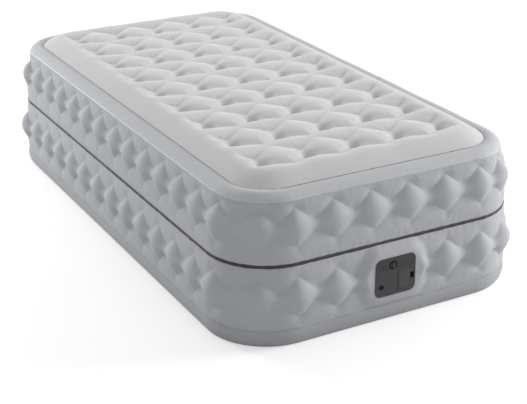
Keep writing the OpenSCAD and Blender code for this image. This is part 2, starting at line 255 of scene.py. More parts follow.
def bead(name, inset, z, radius, wobble, seed):
    """A thin welded ridge round the bed."""
    s = np.arange(0, ROUND, STEP)[None, :]
    angle = np.linspace(0, 2 * math.pi, 9)[:-1, None]
    size = radius * (1 + 0.12 * ripple(s, ROUND, (61, 97, 143), seed))
    shift = wobble * ripple(s, ROUND, (23, 41, 67), seed + 1)
    points = ring_points(s, inset - size * np.cos(angle) + shift, z + size * np.sin(angle))
    points = np.concatenate([points, points[:1]], 0)
    obj = sheet(name, points, closed=True)
    weld_doubles(obj)
    return obj


def weld_doubles(obj):
    """Joins points that lie on each other."""
    bm = bmesh.new()
    bm.from_mesh(obj.data)
    bmesh.ops.remove_doubles(bm, verts=bm.verts, dist=0.00005)
    bm.to_mesh(obj.data)
    bm.free()


def subdivide(obj):
    """One smooth subdivision, applied."""
    mod = obj.modifiers.new("fine", "SUBSURF")
    mod.levels = mod.render_levels = 1
    apply_modifiers(obj)


def apply_modifiers(obj):
    """Replaces an object's mesh with the result of its modifiers."""
    depsgraph = bpy.context.evaluated_depsgraph_get()
    new = bpy.data.meshes.new_from_object(obj.evaluated_get(depsgraph))
    obj.modifiers.clear()
    old, obj.data = obj.data, new
    new.name = obj.name
    bpy.data.meshes.remove(old)
    new.polygons.foreach_set("use_smooth", [True] * len(new.polygons))


# ---------------------------------------------------------------- cloth
def inflate(obj, pin, slack, cap):
    """Lets a sheet settle under air pressure between its weld lines, with no point moving beyond cap,
    then applies the result."""
    frames, pressure = 14, 2.0
    group = obj.vertex_groups.new(name="pin")
    for i, w in enumerate(pin):
        if w > 0.01:
            group.add([i], float(w), "REPLACE")
    mod = obj.modifiers.new("air", "CLOTH")
    cloth = mod.settings
    cloth.quality = 5
    cloth.mass = 0.25
    cloth.tension_stiffness = cloth.compression_stiffness = 22
    cloth.shear_stiffness = 12
    cloth.bending_stiffness = 0.6
    cloth.tension_damping = cloth.compression_damping = 12
    cloth.vertex_group_mass = "pin"
    cloth.pin_stiffness = 6
    cloth.shrink_min = -slack
    cloth.use_pressure = True
    cloth.uniform_pressure_force = pressure
    cloth.effector_weights.gravity = 0
    mod.collision_settings.use_collision = False
    start = np.empty(len(obj.data.vertices) * 3)
    obj.data.vertices.foreach_get("co", start)
    scene = bpy.context.scene
    scene.frame_start, scene.frame_end = 1, frames
    for f in range(1, frames + 1):
        scene.frame_set(f)
    settled = obj.evaluated_get(bpy.context.evaluated_depsgraph_get()).to_mesh()
    end = np.empty_like(start)
    settled.vertices.foreach_get("co", end)
    obj.modifiers.remove(mod)
    obj.vertex_groups.remove(group)
    move = (end - start).reshape(-1, 3)
    size = np.linalg.norm(move, axis=1, keepdims=True)
    print(obj.name, "cloth moved up to", round(float(size.max()) * 1000, 2), "mm, mean",
          round(float(size.mean()) * 1000, 2))
    move *= cap * np.tanh(size / cap) / np.maximum(size, 1e-9)
    obj.data.vertices.foreach_set("co", start + move.ravel())
    obj.data.update()
    scene.frame_set(1)


# ---------------------------------------------------------------- top sheet
def chain_half(x):
    """Half width of a beam chain at x: narrow at each dimple, wide midway."""
    u = np.abs(np.mod(x / DIMPLE_PITCH + 0.5, 1) - 0.5) * 2   # 0 at a dimple, 1 midway
    swell = 0.7 * u + 0.3 * (1 - np.cos(math.pi * u)) / 2
    return NECK_HALF + (APEX_HALF - NECK_HALF) * swell


PATTERN_END = (DIMPLES - 1) / 2 * DIMPLE_PITCH           # x of the outermost dimples
PATTERN_FADE = 0.045                                     # how far the welds run on past them


def weld_strength(x):
    """1 inside the quilted field, fading to 0 beyond the outermost dimples."""
    return 1 - smooth(PATTERN_END + 0.006, PATTERN_END + PATTERN_FADE, np.abs(x))


def seam_offset(x):
    """Half width of a chain, easing to a steady spacing outside the pattern."""
    w = 1 - smooth(PATTERN_END + 0.02, PATTERN_END + 0.08, np.abs(x))
    return w * chain_half(x) + (1 - w) * (NECK_HALF + APEX_HALF) / 2


def column_centres():
    """y of every beam column."""
    return [(k - (COLUMNS - 1) / 2) * COLUMN_PITCH for k in range(COLUMNS)]


NECK_DEPTH, APEX_DEPTH = 0.018, 0.010                    # how far the welds lie below the crown
TOP_EDGE_IN = TOP_SEAM_IN + 0.002                        # the quilted sheet ends just inside its weld


def weld_drop(x, neck_depth, apex_depth):
    """Depth of the welds of a beam chain at x."""
    narrow = 1 - (chain_half(x) - NECK_HALF) / (APEX_HALF - NECK_HALF)
    return apex_depth + (neck_depth - apex_depth) * np.clip(narrow, 0, 1) ** 1.25


def quilt_lines(x, y, step):
    """How firmly the beam welds hold the sheet, and the ties across each dimple."""
    half = chain_half(x)
    slope = np.gradient(half, step, axis=1)
    strength = weld_strength(x)
    to_dimple = (np.mod(x / DIMPLE_PITCH + 0.5, 1) - 0.5) * DIMPLE_PITCH
    weld, tie = np.zeros_like(x), np.zeros_like(x)
    for centre in column_centres():
        off = np.abs(y - centre)
        near = np.exp(-((off - half) / (WELD_WIDTH * np.sqrt(1 + slope ** 2))) ** 2)
        weld = np.maximum(weld, near * strength ** 2)
        across = np.exp(-(to_dimple / 0.0028) ** 2) * (1 - smooth(-0.004, 0.002, off - half))
        tie = np.maximum(tie, 0.6 * across * (np.abs(x) < PATTERN_END + 0.02))
    return weld, tie


def top_height():
    """A lookup of the quilted top sheet's height above its weld to the rim."""
    step = FINE_STEP
    pad = 2 * step
    field_load, margin_load = 11.0, 16.0                 # curvature under pressure, per metre
    xs = np.arange(-HALF_W + TOP_SEAM_IN - pad, HALF_W - TOP_SEAM_IN + 2 * pad, step)
    ys = np.arange(-HALF_L + TOP_SEAM_IN - pad, HALF_L - TOP_SEAM_IN + 2 * pad, step)
    x, y = np.meshgrid(xs, ys)
    crown = crown_height(x, y) - TOP_SEAM_Z
    inside = inside_distance(x, y, TOP_EDGE_IN)
    weld, tie = quilt_lines(x, y, step)
    depth = np.where(weld >= tie, weld_drop(x, NECK_DEPTH, APEX_DEPTH), 0.93 * NECK_DEPTH)
    hold = np.where(inside <= 0, 1.0, np.maximum(weld, tie))
    full = TOP_HIGH - TOP_SEAM_Z
    target = np.where(inside <= 0, 0.0, full - depth)
    field = (np.abs(x) < PATTERN_END) & (np.abs(y) < column_centres()[-1] + APEX_HALF)
    load = np.where(field, field_load, margin_load)
    h = blow_up(np.minimum(crown, full), hold, target, load, step, full - 0.001)

    def look(px, py):
        return sample(h, (px - xs[0]) / step, (py - ys[0]) / step)
    return look


def dimple_wrinkles(x, y, height):
    """Fine tension folds that fan out from each dimple."""
    total = np.zeros_like(x)
    rng = np.random.default_rng(21)
    for centre in column_centres():
        for i in range(DIMPLES):
            dx = x - (i - (DIMPLES - 1) / 2) * DIMPLE_PITCH
            dy = y - centre
            r = np.hypot(dx, dy)
            angle = np.arctan2(dy, dx)
            folds = sum(share * np.sin(count * angle + rng.uniform(0, 6.28))
                        for count, share in ((11, 1.0), (17, 0.7), (5, 0.4)))
            ring = smooth(0.006, 0.022, r) * np.exp(-((r - 0.022) / 0.032) ** 2)
            total += height * folds * ring * rng.uniform(0.6, 1.2)
    return total


def cell_marks(x, y):
    """Small marks of a filled cell: a hollow on each side of a dimple, deep on the pump side, and a bump
    with arc folds inside each apex that points at the pump."""
    total = np.zeros_like(x)
    rng = np.random.default_rng(33)
    for centre in column_centres():
        for i in range(DIMPLES):
            dx = x - (i - (DIMPLES - 1) / 2) * DIMPLE_PITCH
            for side, sink in ((-1, 0.0190), (1, 0.0015)):
                r = np.hypot(dx * 0.75, y - centre - side * (NECK_HALF - 0.004))
                total -= sink * np.exp(-(r / 0.0155) ** 2) * rng.uniform(0.85, 1.15)
        for i in range(DIMPLES - 1):
            dx = x - (i - (DIMPLES - 2) / 2) * DIMPLE_PITCH
            dy = y - centre + APEX_HALF - 0.022
            r = np.hypot(dx, dy)
            total += 0.0022 * np.exp(-(r / 0.011) ** 2) * rng.uniform(0.6, 1.2)
            folds = np.sin(2 * math.pi * (r - 0.014) / 0.0085) * np.exp(-((r - 0.024) / 0.009) ** 2)
            total += 0.0007 * folds * smooth(-0.01, 0.012, dy) * rng.uniform(0.5, 1.2)
    return total


def row_positions(x):
    """Rows of the top sheet at x, following every weld line, from the pump end to the head end."""
    off = seam_offset(x)
    lines = [-HALF_L + TOP_SEAM_IN + 0 * x]
    for centre in column_centres():
        lines += [centre - off, centre + off]
    lines.append(HALF_L - TOP_SEAM_IN + 0 * x)
    counts = [18] + [14 if i % 2 == 0 else 12 for i in range(2 * COLUMNS - 1)] + [18]
    rows, pinned = [], []
    for i, n in enumerate(counts):
        for t in gather(n):
            rows.append(lines[i] * (1 - t) + lines[i + 1] * t)
            pinned.append(t == 0 and i > 0)
    rows.append(lines[-1])
    pinned.append(False)
    return np.array(rows), np.array(pinned)


def inside_distance(x, y, inset):
    """Distance from a point to the outline at that inset, positive inside it."""
    hw, hl, r = HALF_W - inset, HALF_L - inset, CORNER_R - inset
    qx, qy = np.abs(x) - (hw - r), np.abs(y) - (hl - r)
    outside = np.hypot(np.maximum(qx, 0), np.maximum(qy, 0)) + np.minimum(np.maximum(qx, qy), 0)
    return r - outside


def crown_height(x, y):
    """Height of the top sheet before quilting."""
    shoulder = 0.10                                      # width of the rounded margin
    t = np.clip(inside_distance(x, y, TOP_EDGE_IN) / shoulder, 0, 1)
    rise = TOP_HIGH + 0.001 - (TOP_SEAM_Z - 0.001)
    middle = 0.004 * np.clip(1 - (x / HALF_W) ** 2 - (y / HALF_L) ** 2, 0, 1)
    return TOP_SEAM_Z - 0.001 + rise * (1 - (1 - t) ** 2.4) + middle


def snap_to_outline(x, y, inset):
    """Moves points outside the outline onto it, and says which were outside."""
    d = inside_distance(x, y, inset)
    hw, hl, r = HALF_W - inset, HALF_L - inset, CORNER_R - inset
    qx, qy = np.maximum(np.abs(x) - (hw - r), 0), np.maximum(np.abs(y) - (hl - r), 0)
    length = np.maximum(np.hypot(qx, qy), 1e-9)
    out = d < 0
    x = np.where(out, x + np.sign(x) * qx / length * d, x)
    y = np.where(out, y + np.sign(y) * qy / length * d, y)
    return x, y, out


def build_top():
    """The quilted top sheet, with its rows along the weld lines."""
    fine = 32                                            # points across one cell
    reach = DIMPLES * fine // 2
    inner = np.arange(-reach, reach + 1) * DIMPLE_PITCH / fine
    side = HALF_W - TOP_EDGE_IN
    outer = np.linspace(inner[-1], side, 11)[1:]
    cols = np.concatenate([-outer[::-1], inner, outer])
    y, pinned = row_positions(cols)
    x = np.broadcast_to(cols, y.shape).copy()
    y = np.clip(y, -HALF_L + TOP_EDGE_IN, HALF_L - TOP_EDGE_IN)
    x, y, out = snap_to_outline(x, y, TOP_EDGE_IN)
    keep = faces_with_any(~out)
    z = TOP_SEAM_Z - 0.001 + top_height()(x, y)
    edge = inside_distance(x, y, TOP_EDGE_IN)
    z += (dimple_wrinkles(x, y, 0.0005) + cell_marks(x, y)) * weld_strength(x)
    z += 0.0003 * smooth(0.0, 0.012, edge) * (1 - smooth(0.02, 0.05, edge)) * ripple(
        x + 1.7 * y, 1.9, (31, 47, 83), 5)
    points = np.stack([x, y, z], -1)
    pin = np.zeros(x.shape)
    pin[pinned] = weld_strength(x[pinned])
    pin[edge < 0.004] = 1
    obj = sheet("quilted_top", points, keep=keep)
    inflate(obj, pin.reshape(-1)[used_vertices(keep)], slack=0.0, cap=0.0012)
    subdivide(obj)
    return obj


def faces_with_any(good):
    """Which grid faces have at least one good corner."""
    return good[:-1, :-1] | good[1:, :-1] | good[:-1, 1:] | good[1:, 1:]


def used_vertices(keep):
    """Indices of the grid points that belong to a kept face, in order."""
    rows, cols = keep.shape
    used = np.zeros((rows + 1, cols + 1), bool)
    for di in (0, 1):
        for dj in (0, 1):
            used[di:di + rows, dj:dj + cols] |= keep
    return np.flatnonzero(used.reshape(-1))


# ---------------------------------------------------------------- side walls
def from_side(s, side):
    """Signed distance along the outline from the middle of a side: 0 is the pump end, then anticlockwise."""
    return np.mod(s - side * ROUND / 4 + ROUND / 2, ROUND) - ROUND / 2


LAST_APEX = (3.5 * END_PITCH, 6.5 * SIDE_PITCH)   # outermost apex of an end and of a long side
CORNER_GAP = ROUND / 4 - sum(LAST_APEX)          # along the outline, between those two apexes


def side_pattern(s):
    """Apex phase (0 at an apex, 1 at a trough) and strength of the side welds at s. A wide, shallower cell
    turns each corner."""
    phase, strength = np.ones_like(s), np.ones_like(s)
    for side in range(4):
        pitch = END_PITCH if side % 2 == 0 else SIDE_PITCH
        last = LAST_APEX[side % 2]
        c = from_side(s, side)
        on_side = np.abs(c) <= last
        phase = np.where(on_side, np.abs(np.mod(c / pitch, 1) - 0.5) * 2, phase)
        corner = (c > last) & (c < last + CORNER_GAP)
        across = np.abs((c - last) / CORNER_GAP - 0.5) * 2       # 0 mid corner, 1 at either apex
        phase = np.where(corner, 1 - across, phase)
        strength = np.where(corner, 0.75 + 0.25 * smooth(0.3, 1.0, across), strength)
    return phase, strength


UPPER_SEAMS = (0.256, 0.452, 0.673, 0.887)   # valley, crest, trough and apex as shares of the wall's height
LOWER_SEAMS = (0.164, 0.390, 0.599, 0.814)
SEAM_DEPTH = 0.017                     # how far the webs pull the side seams in
CELL_LOAD = 33.0                       # curvature of a filled side cell, per metre


def side_seams(s, levels):
    """Heights of the two side seams as shares of the wall, and their strength."""
    valley, crest, trough, apex = levels
    u, strength = side_pattern(s)
    bell = 0.6 * (1 - u) ** 1.6 + 0.4 * (1 + np.cos(math.pi * u)) / 2
    high = trough + (apex - trough) * bell
    low = crest + (valley - crest) * bell
    blend = smooth(0, 1, strength)
    return (low * blend + (valley + crest) / 2 * (1 - blend),
            high * blend + (trough + apex) / 2 * (1 - blend), strength)


def wall_bulge(height, levels, rise):
    """A lookup of how far a side wall stands out from the straight line between its welds."""
    count, rows = round(ROUND / FINE_STEP), round(height / FINE_STEP)
    step = ROUND / count
    ss, share = np.meshgrid(np.arange(count) * step, np.linspace(0, 1, rows + 1))
    low, high, strength = side_seams(ss, levels)
    u = side_pattern(ss)[0]
    hold = np.zeros_like(ss)
    for line in (low, high):
        slope = np.gradient(line * height, step, axis=1)
        width = WELD_WIDTH * np.sqrt(1 + np.clip(slope, -1.5, 1.5) ** 2)
        hold = np.maximum(hold, np.exp(-((share - line) * height / width) ** 2) * strength ** 2)
    envelope = 4 * rise * share * (1 - share)
    target = envelope - SEAM_DEPTH * (0.8 + 0.4 * u ** 2)
    hold[0] = hold[-1] = 1
    target[0] = target[-1] = 0
    plain = 8 * rise / height ** 2
    in_cell = np.clip((share - low) / (high - low), 0, 1) ** 2 * (share < high)
    in_foot = np.clip(share / low, 0, 1) ** 2 * (share < low)
    load = plain + CELL_LOAD * strength * (0.7 * (in_cell > 0) + 0.7 * in_cell + 0.15 * in_foot)
    q = blow_up(envelope, hold, target, load, step, envelope + 0.005, wrap=True)
    q = np.hstack([q, q[:, :1]])

    def look(ps, pt):
        return sample(q, np.mod(ps, ROUND) / step, pt * rows)
    return look


def gather(n):
    """n steps from 0 to 1, closer together near both ends."""
    t = np.arange(n) / n
    return 0.5 * t + 0.25 * (1 - np.cos(math.pi * t))


def wall_rows(s, levels):
    """Rows of a side wall as shares of its height, following both seams and closest together beside
    them, and how firmly each is pinned."""
    counts = (9, 13, 7)
    low, high, strength = side_seams(s, levels)
    lines = [0 * s, low, high, 0 * s + 1]
    rows, pinned = [], []
    for i, n in enumerate(counts):
        for t in gather(n):
            rows.append(lines[i] * (1 - t) + lines[i + 1] * t)
            pinned.append(0 * s if t > 0 else (strength if i > 0 else 1 + 0 * s))
    rows.append(lines[-1])
    pinned.append(1 + 0 * s)
    return np.array(rows), np.array(pinned)


def panel_gap(x, z):
    """Distance outside the pump collar's rounded outline, negative inside it."""
    lap, r = 0.003, 0.022                                # overlap on the collar, corner radius
    half_x = (COLLAR_HIGH[0] - COLLAR_LOW[0]) / 2 - lap
    half_z = (COLLAR_HIGH[2] - COLLAR_LOW[2]) / 2 - lap
    qx, qz = np.abs(x - PUMP_X) - (half_x - r), np.abs(z - PUMP_Z) - (half_z - r)
    return np.hypot(np.maximum(qx, 0), np.maximum(qz, 0)) + np.minimum(np.maximum(qx, qz), 0) - r


def build_wall(name, a, b, rise, levels, seed, opening=False):
    """A side wall from a to b, each (inset, height), that stands out by rise; opening leaves room for
    the pump."""
    count = round(ROUND / STEP)
    s = np.arange(count) * ROUND / count
    t, pin = wall_rows(s, levels)
    s = np.broadcast_to(s, t.shape)
    height = b[1] - a[1]
    inset, z = a[0] + (b[0] - a[0]) * t, a[1] + height * t
    tilt = math.atan2(b[0] - a[0], height)
    edge = smooth(0, 0.16, t) * smooth(0, 0.16, 1 - t)
    bulge = wall_bulge(height, levels, rise)(s, t)
    near_weld = 1 - smooth(0.0, 0.25, np.minimum(t, 1 - t))
    crease = 0.0003 * ripple(s, ROUND, (131, 173, 211, 257), seed) * near_weld
    lift = 0.0012 * ripple(s, ROUND, (9, 17, 29), seed + 3) * edge
    x, y, nx, ny = ring_path(s)
    near_panel = np.zeros_like(s)
    if opening:
        front = (y < 0) & (np.abs(x) < HALF_W)
        gap = np.where(front & (ny < -0.9), panel_gap(x, z), 1.0)
        near_panel = 1 - smooth(0.0, 0.05, gap)
        bulge += 0.85 * near_panel * (4 * rise * t * (1 - t) - bulge)
    out = bulge + crease + lift
    x = x - (inset - out * math.cos(tilt)) * nx
    y = y - (inset - out * math.cos(tilt)) * ny
    z = z + out * math.sin(tilt)
    if opening:
        gap = np.where(near_panel > 0, panel_gap(x, z), 1.0)
        flat = 1 - smooth(0.0, 0.042, gap)
        y = np.where(near_panel > 0, y * (1 - flat) + (COLLAR_LOW[1] - 0.0006) * flat, y)
        pin = np.maximum(pin, (gap < 0.008) * 1.0)
    obj = sheet(name, np.stack([x, y, z], -1), closed=True)
    inflate(obj, pin.reshape(-1), slack=0.003, cap=0.0015)
    if opening:
        x, y, z = np.array([v.co for v in obj.data.vertices]).T.reshape(3, *s.shape)
        settled = obj.data
        bpy.data.objects.remove(obj)
        bpy.data.meshes.remove(settled)
        x, z, keep = open_panel(x, z, np.where(near_panel > 0, panel_gap(x, z), 1.0))
        obj = sheet(name, np.stack([x, y, z], -1), closed=True, keep=keep)
    subdivide(obj)
    return obj


def open_panel(x, z, gap):
    """Cuts the pump opening: faces well inside go, and the cut's edge is drawn onto the outline."""
    inside = gap < 0
    near = np.roll(inside, -1, 1)
    keep = ~(inside[:-1] & near[:-1] & inside[1:] & near[1:])
    eps = 1e-4
    gx = (panel_gap(x + eps, z) - panel_gap(x - eps, z)) / (2 * eps)
    gz = (panel_gap(x, z + eps) - panel_gap(x, z - eps)) / (2 * eps)
    x = np.where(inside, x - gx * gap, x)
    z = np.where(inside, z - gz * gap, z)
    return x, z, keep


def plain_ring(name, a, b, rise, rows, pucker, seed):
    """A plain bulging band between two welds, with slight puckers along its edges."""
    s = np.arange(0, ROUND, ROUND / round(ROUND / STEP))[None, :]
    t = np.linspace(0, 1, rows)[:, None]
    inset, z, tilt = arc_profile(a, b, rise, t)
    at_edge = (1 - smooth(0.0, 0.5, t)) + 0.7 * smooth(0.55, 1.0, t)
    off_edge = smooth(0, 0.08, t) * smooth(0, 0.08, 1 - t)
    out = pucker * at_edge * ripple(s, ROUND, (73, 119, 163, 201), seed) * off_edge
    out = out + 1.6 * pucker * ripple(s, ROUND, (7, 13, 21), seed + 1) * np.sin(math.pi * t)
    points = ring_points(s, inset - out * np.cos(tilt), z + out * np.sin(tilt))
    return sheet(name, points, closed=True)


# ---------------------------------------------------------------- bottom and inside
def build_bottom():
    """The sheet on the floor, drawn up a little along the welds of the lower strips."""
    inset, step = FOOT_IN + 0.0015, 0.008
    cols = np.arange(-HALF_W + inset, HALF_W - inset + step, step)
    rows = np.arange(-HALF_L + inset, HALF_L - inset + step, step)
    x, y = np.meshgrid(np.clip(cols, None, HALF_W - inset), np.clip(rows, None, HALF_L - inset))
    x, y, out = snap_to_outline(x, y, inset)
    keep = faces_with_any(~out)
    lift = np.zeros_like(x)
    for centre in column_centres():
        lift = np.maximum(lift, np.exp(-((np.abs(y - centre) - chain_half(x)) / 0.014) ** 2))
    z = FLAT + 0.004 * lift * weld_strength(x) * smooth(0.05, 0.09, inside_distance(x, y, inset))
    return sheet("floor_sheet", np.stack([x, y, z], -1), keep=keep, flip=True)


STRIP_X = np.linspace(-PATTERN_END - 0.03, PATTERN_END + 0.03, 121)   # points along a strip


def zigzag_strips(name, z0, z1):
    """The internal beam strips, standing along both welds of every column; z1 may follow STRIP_X."""
    levels = np.linspace(0, 1, 9)[:, None]
    grids = []
    for centre in column_centres():
        for side in (-1, 1):
            y = centre + side * chain_half(STRIP_X)
            bow = 0.003 * np.sin(math.pi * levels) * np.sin(2 * math.pi * STRIP_X / DIMPLE_PITCH)
            z = z0 + (z1 - z0) * levels + 0 * STRIP_X
            grids.append(np.stack([STRIP_X + 0 * levels, y + bow, z], -1))
    return film_bands(name, grids)


def web_rings(name, heights, insets, gap=0.0):
    """Flat bands inside a side wall that hold its seams in, with a wavy inner edge; gap leaves room for
    the pump."""
    s = np.arange(0, ROUND, ROUND / round(ROUND / 0.012))[None, :]
    t = np.linspace(0, 1, 5)[:, None]
    width = 0.03 + 0.004 * np.cos(2 * math.pi * s / SIDE_PITCH)
    clear = np.abs(from_side(s[0] - PUMP_X, 0)) >= gap
    keep = np.tile(clear & np.roll(clear, -1), (len(t) - 1, 1))
    grids = [ring_points(s, inset + t * width, z + 0.002 * np.sin(math.pi * t))
             for z, inset in zip(heights, insets)]
    return film_bands(name, grids, closed=True, keep=keep)


def build_partition():
    """The sheet between the chambers: it sags a little and has the air vents through it."""
    low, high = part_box("mid_sheet")
    inset = inset_of("mid_sheet")
    step = 0.008
    cols = np.linspace(low[0], high[0], round((high[0] - low[0]) / step))
    rows = np.linspace(low[1], high[1], round((high[1] - low[1]) / step))
    x, y = np.meshgrid(cols, rows)
    x, y, out = snap_to_outline(x, y, inset)
    drop = out.copy()
    for k in range(COLUMNS - 1):
        for side in (-1, 1):
            cx, cy = side * DIMPLE_PITCH, (k - (COLUMNS - 2) / 2) * COLUMN_PITCH
            r = np.maximum(np.hypot(x - cx, y - cy), 1e-6)
            hole = r < VENT_R
            x = np.where(hole, cx + (x - cx) / r * VENT_R, x)
            y = np.where(hole, cy + (y - cy) / r * VENT_R, y)
            drop |= hole
    keep = faces_with_any(~drop)
    sag = 0.0015 * np.cos(2 * math.pi * y / COLUMN_PITCH) * np.clip(inside_distance(x, y, inset) / 0.1, 0, 1)
    return sheet("partition", np.stack([x, y, (low[2] + high[2]) / 2 + sag], -1), keep=keep)


# ---------------------------------------------------------------- materials
class Nodes:
    """A short way to build one node material."""

    def __init__(self, name):
        self.mat = bpy.data.materials.new(name)
        self.mat.use_nodes = True
        self.tree = self.mat.node_tree
        self.tree.nodes.clear()
        self.out = self.add("ShaderNodeOutputMaterial")
        self.skin = self.add("ShaderNodeBsdfPrincipled")
        self.link(self.skin.outputs[0], self.out.inputs[0])
        self.coords = self.add("ShaderNodeTexCoord").outputs["Object"]

    def add(self, kind, **values):
        node = self.tree.nodes.new(kind)
        for key, value in values.items():
            setattr(node, key, value)
        return node

    def link(self, a, b):
        self.tree.links.new(a, b)

    def noise(self, scale, detail=3.0, rough=0.55, stretch=None):
        """Cloudy noise in object space, scale waves to the metre."""
        node = self.add("ShaderNodeTexNoise")
        node.inputs["Scale"].default_value = scale
        node.inputs["Detail"].default_value = detail
        node.inputs["Roughness"].default_value = rough
        source = self.coords
        if stretch:
            mapping = self.add("ShaderNodeMapping")
            mapping.inputs["Scale"].default_value = stretch
            self.link(self.coords, mapping.inputs["Vector"])
            source = mapping.outputs[0]
        self.link(source, node.inputs["Vector"])
        return node.outputs["Fac"]

    def cells(self, scale):
        """Distance to the nearest of many scattered points."""
        node = self.add("ShaderNodeTexVoronoi")
        node.inputs["Scale"].default_value = scale
        self.link(self.coords, node.inputs["Vector"])
        return node.outputs["Distance"]

    def spread(self, fac, low, high, start=0.3, end=0.7):
        """Maps a factor to a value between low and high."""
        node = self.add("ShaderNodeMapRange")
        for key, value in (("From Min", start), ("From Max", end), ("To Min", low), ("To Max", high)):
            node.inputs[key].default_value = value
        self.link(fac, node.inputs["Value"])
        return node.outputs["Result"]

    def mix(self, fac, a, b):
        """Mixes two colours; either may be a socket."""
        node = self.add("ShaderNodeMix", data_type="RGBA")
        for value, socket in ((a, node.inputs[6]), (b, node.inputs[7])):
            if isinstance(value, tuple):
                socket.default_value = (*value, 1)
            else:
                self.link(value, socket)
        self.link(fac, node.inputs[0])
        return node.outputs[2]

    def bump(self, height, distance, strength, after=None):
        """Bump of the given depth, on top of an earlier one if there is one."""
        node = self.add("ShaderNodeBump")
        node.inputs["Strength"].default_value = strength
        node.inputs["Distance"].default_value = distance
        self.link(height, node.inputs["Height"])
        if after is not None:
            self.link(after, node.inputs["Normal"])
        return node.outputs["Normal"]

    def surface(self, **values):
        """Sets or links the surface's inputs and returns the material."""
        for key, value in values.items():
            socket = self.skin.inputs[key.replace("_", " ")]
            if isinstance(value, (int, float, tuple)):
                socket.default_value = value
            else:
                self.link(value, socket)
        return self.mat


def shade(colour, k):
    """A colour made k times lighter."""
    return tuple(min(1.0, c * k) for c in colour)


def flocked(name, colour, rough=0.9, sheen=0.25):
    """Velvety flocking on vinyl: short pile, cloudy shade, faint brushed streaks."""
    n = Nodes(name)
    cloud = n.spread(n.noise(7, 4), 0, 1)
    streak = n.spread(n.noise(26, 3, stretch=(1.0, 3.2, 1.0)), 0, 1)
    pile_noise = n.noise(1400, 2, 0.7)
    base = n.mix(cloud, shade(colour, 0.955), shade(colour, 1.03))
    base = n.mix(n.spread(streak, 0, 0.5, 0, 1), base, shade(colour, 0.985))
    base = n.mix(n.spread(pile_noise, 0, 0.35), base, shade(colour, 0.93))
    normal = n.bump(pile_noise, 0.00025, 0.55)
    normal = n.bump(n.noise(160, 3), 0.0005, 0.35, normal)
    return n.surface(Base_Color=base, Roughness=n.spread(cloud, rough - 0.05, rough + 0.05, 0, 1),
                     Normal=normal, Sheen_Weight=sheen, Sheen_Roughness=0.5)


def vinyl(name, colour, rough, bump=0.0004):
    """Smooth soft vinyl with a faint leathery grain and cloudy gloss."""
    n = Nodes(name)
    cloud = n.spread(n.noise(9, 4), 0, 1)
    grain = n.cells(650)
    base = n.mix(cloud, shade(colour, 0.96), shade(colour, 1.03))
    normal = n.bump(grain, bump * 0.4, 0.3)
    normal = n.bump(n.noise(90, 3), bump, 0.45, normal)
    return n.surface(Base_Color=base, Roughness=n.spread(cloud, rough - 0.07, rough + 0.08, 0, 1),
                     Normal=normal)


def plastic(name, colour, rough, wear=0.25):
    """Moulded plastic: spark-eroded texture, dust in the dull patches, paler rubbed edges."""
    n = Nodes(name)
    dust = n.spread(n.noise(45, 5, 0.65), 0, 1)
    erode = n.noise(2600, 2, 0.6)
    edge = n.add("ShaderNodeNewGeometry").outputs["Pointiness"]
    rub = n.spread(edge, 0, wear, 0.51, 0.58)
    base = n.mix(n.spread(dust, 0, 1, 0, 1), shade(colour, 0.93), shade(colour, 1.08))
    base = n.mix(rub, base, shade(colour, 1.9))
    return n.surface(Base_Color=base, Roughness=n.spread(dust, rough - 0.08, rough + 0.1, 0, 1),
                     Normal=n.bump(erode, 0.00012, 0.5))


def metal(name, colour):
    """Turned or drawn metal with fine lengthwise lines."""
    n = Nodes(name)
    lines = n.noise(900, 3, 0.6, stretch=(1, 0.05, 1))
    stain = n.spread(n.noise(60, 3), 0, 1)
    base = n.mix(stain, shade(colour, 0.9), shade(colour, 1.05))
    return n.surface(Base_Color=base, Metallic=1.0, Roughness=n.spread(lines, 0.24, 0.40),
                     Normal=n.bump(lines, 0.00008, 0.4))


def windings(name):
    """Varnished copper wire wound in fine turns."""
    n = Nodes(name)
    wave = n.add("ShaderNodeTexWave", wave_type="BANDS", bands_direction="Y")
    wave.inputs["Scale"].default_value = 420
    wave.inputs["Distortion"].default_value = 0.6
    n.link(n.coords, wave.inputs["Vector"])
    base = n.mix(wave.outputs["Fac"], (0.22, 0.07, 0.03), (0.62, 0.28, 0.12))
    return n.surface(Base_Color=base, Metallic=0.8, Roughness=0.32,
                     Normal=n.bump(wave.outputs["Fac"], 0.0003, 0.6))


def paint(obj, mat):
    """Gives an object one material."""
    obj.data.materials.clear()
    obj.data.materials.append(mat)


def place(piece, node, body, mat):
    """Puts a soft piece in place of a CAD node, on the body it moves with and in its finish."""
    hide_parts(node)
    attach(piece, body)
    paint(piece, mat)


# ---------------------------------------------------------------- build the soft pieces
TOP_GREY = (0.66, 0.66, 0.665)
WALL_GREY = (0.50, 0.51, 0.535)
RIM_GREY = (0.58, 0.59, 0.61)

mat_top = flocked("flocked_top", TOP_GREY)
mat_wall = flocked("flocked_wall", WALL_GREY, rough=0.85, sheen=0.15)
mat_rim = flocked("rim_vinyl", RIM_GREY, rough=0.8, sheen=0.1)
# the wall flocking at 0.86 times its lightness for the base band: painted shade, a shaded copy of the wall
# material
mat_base_painted_shade = flocked("flocked_base_painted_shade", shade(WALL_GREY, 0.86), rough=0.85, sheen=0.15)
# near-black vinyl for the waist bead: painted shadow standing in for the shade in the groove between the
# walls
mat_waist_painted_shadow = vinyl("weld_vinyl", (0.05, 0.051, 0.054), rough=0.6)
mat_bead = vinyl("bead_vinyl", (0.62, 0.63, 0.65), rough=0.35)
mat_inner = vinyl("inner_vinyl", (0.60, 0.62, 0.66), rough=0.4)

top = build_top()
place(top, "top_sheet", "deck", mat_top)

upper = build_wall("upper_wall", (WAIST_IN, WAIST_HIGH), (RIM_IN, RIM_SEAM_LOW), rise=0.021,
                   levels=UPPER_SEAMS, seed=31)
place(upper, "upper_side_wall", "base", mat_wall)

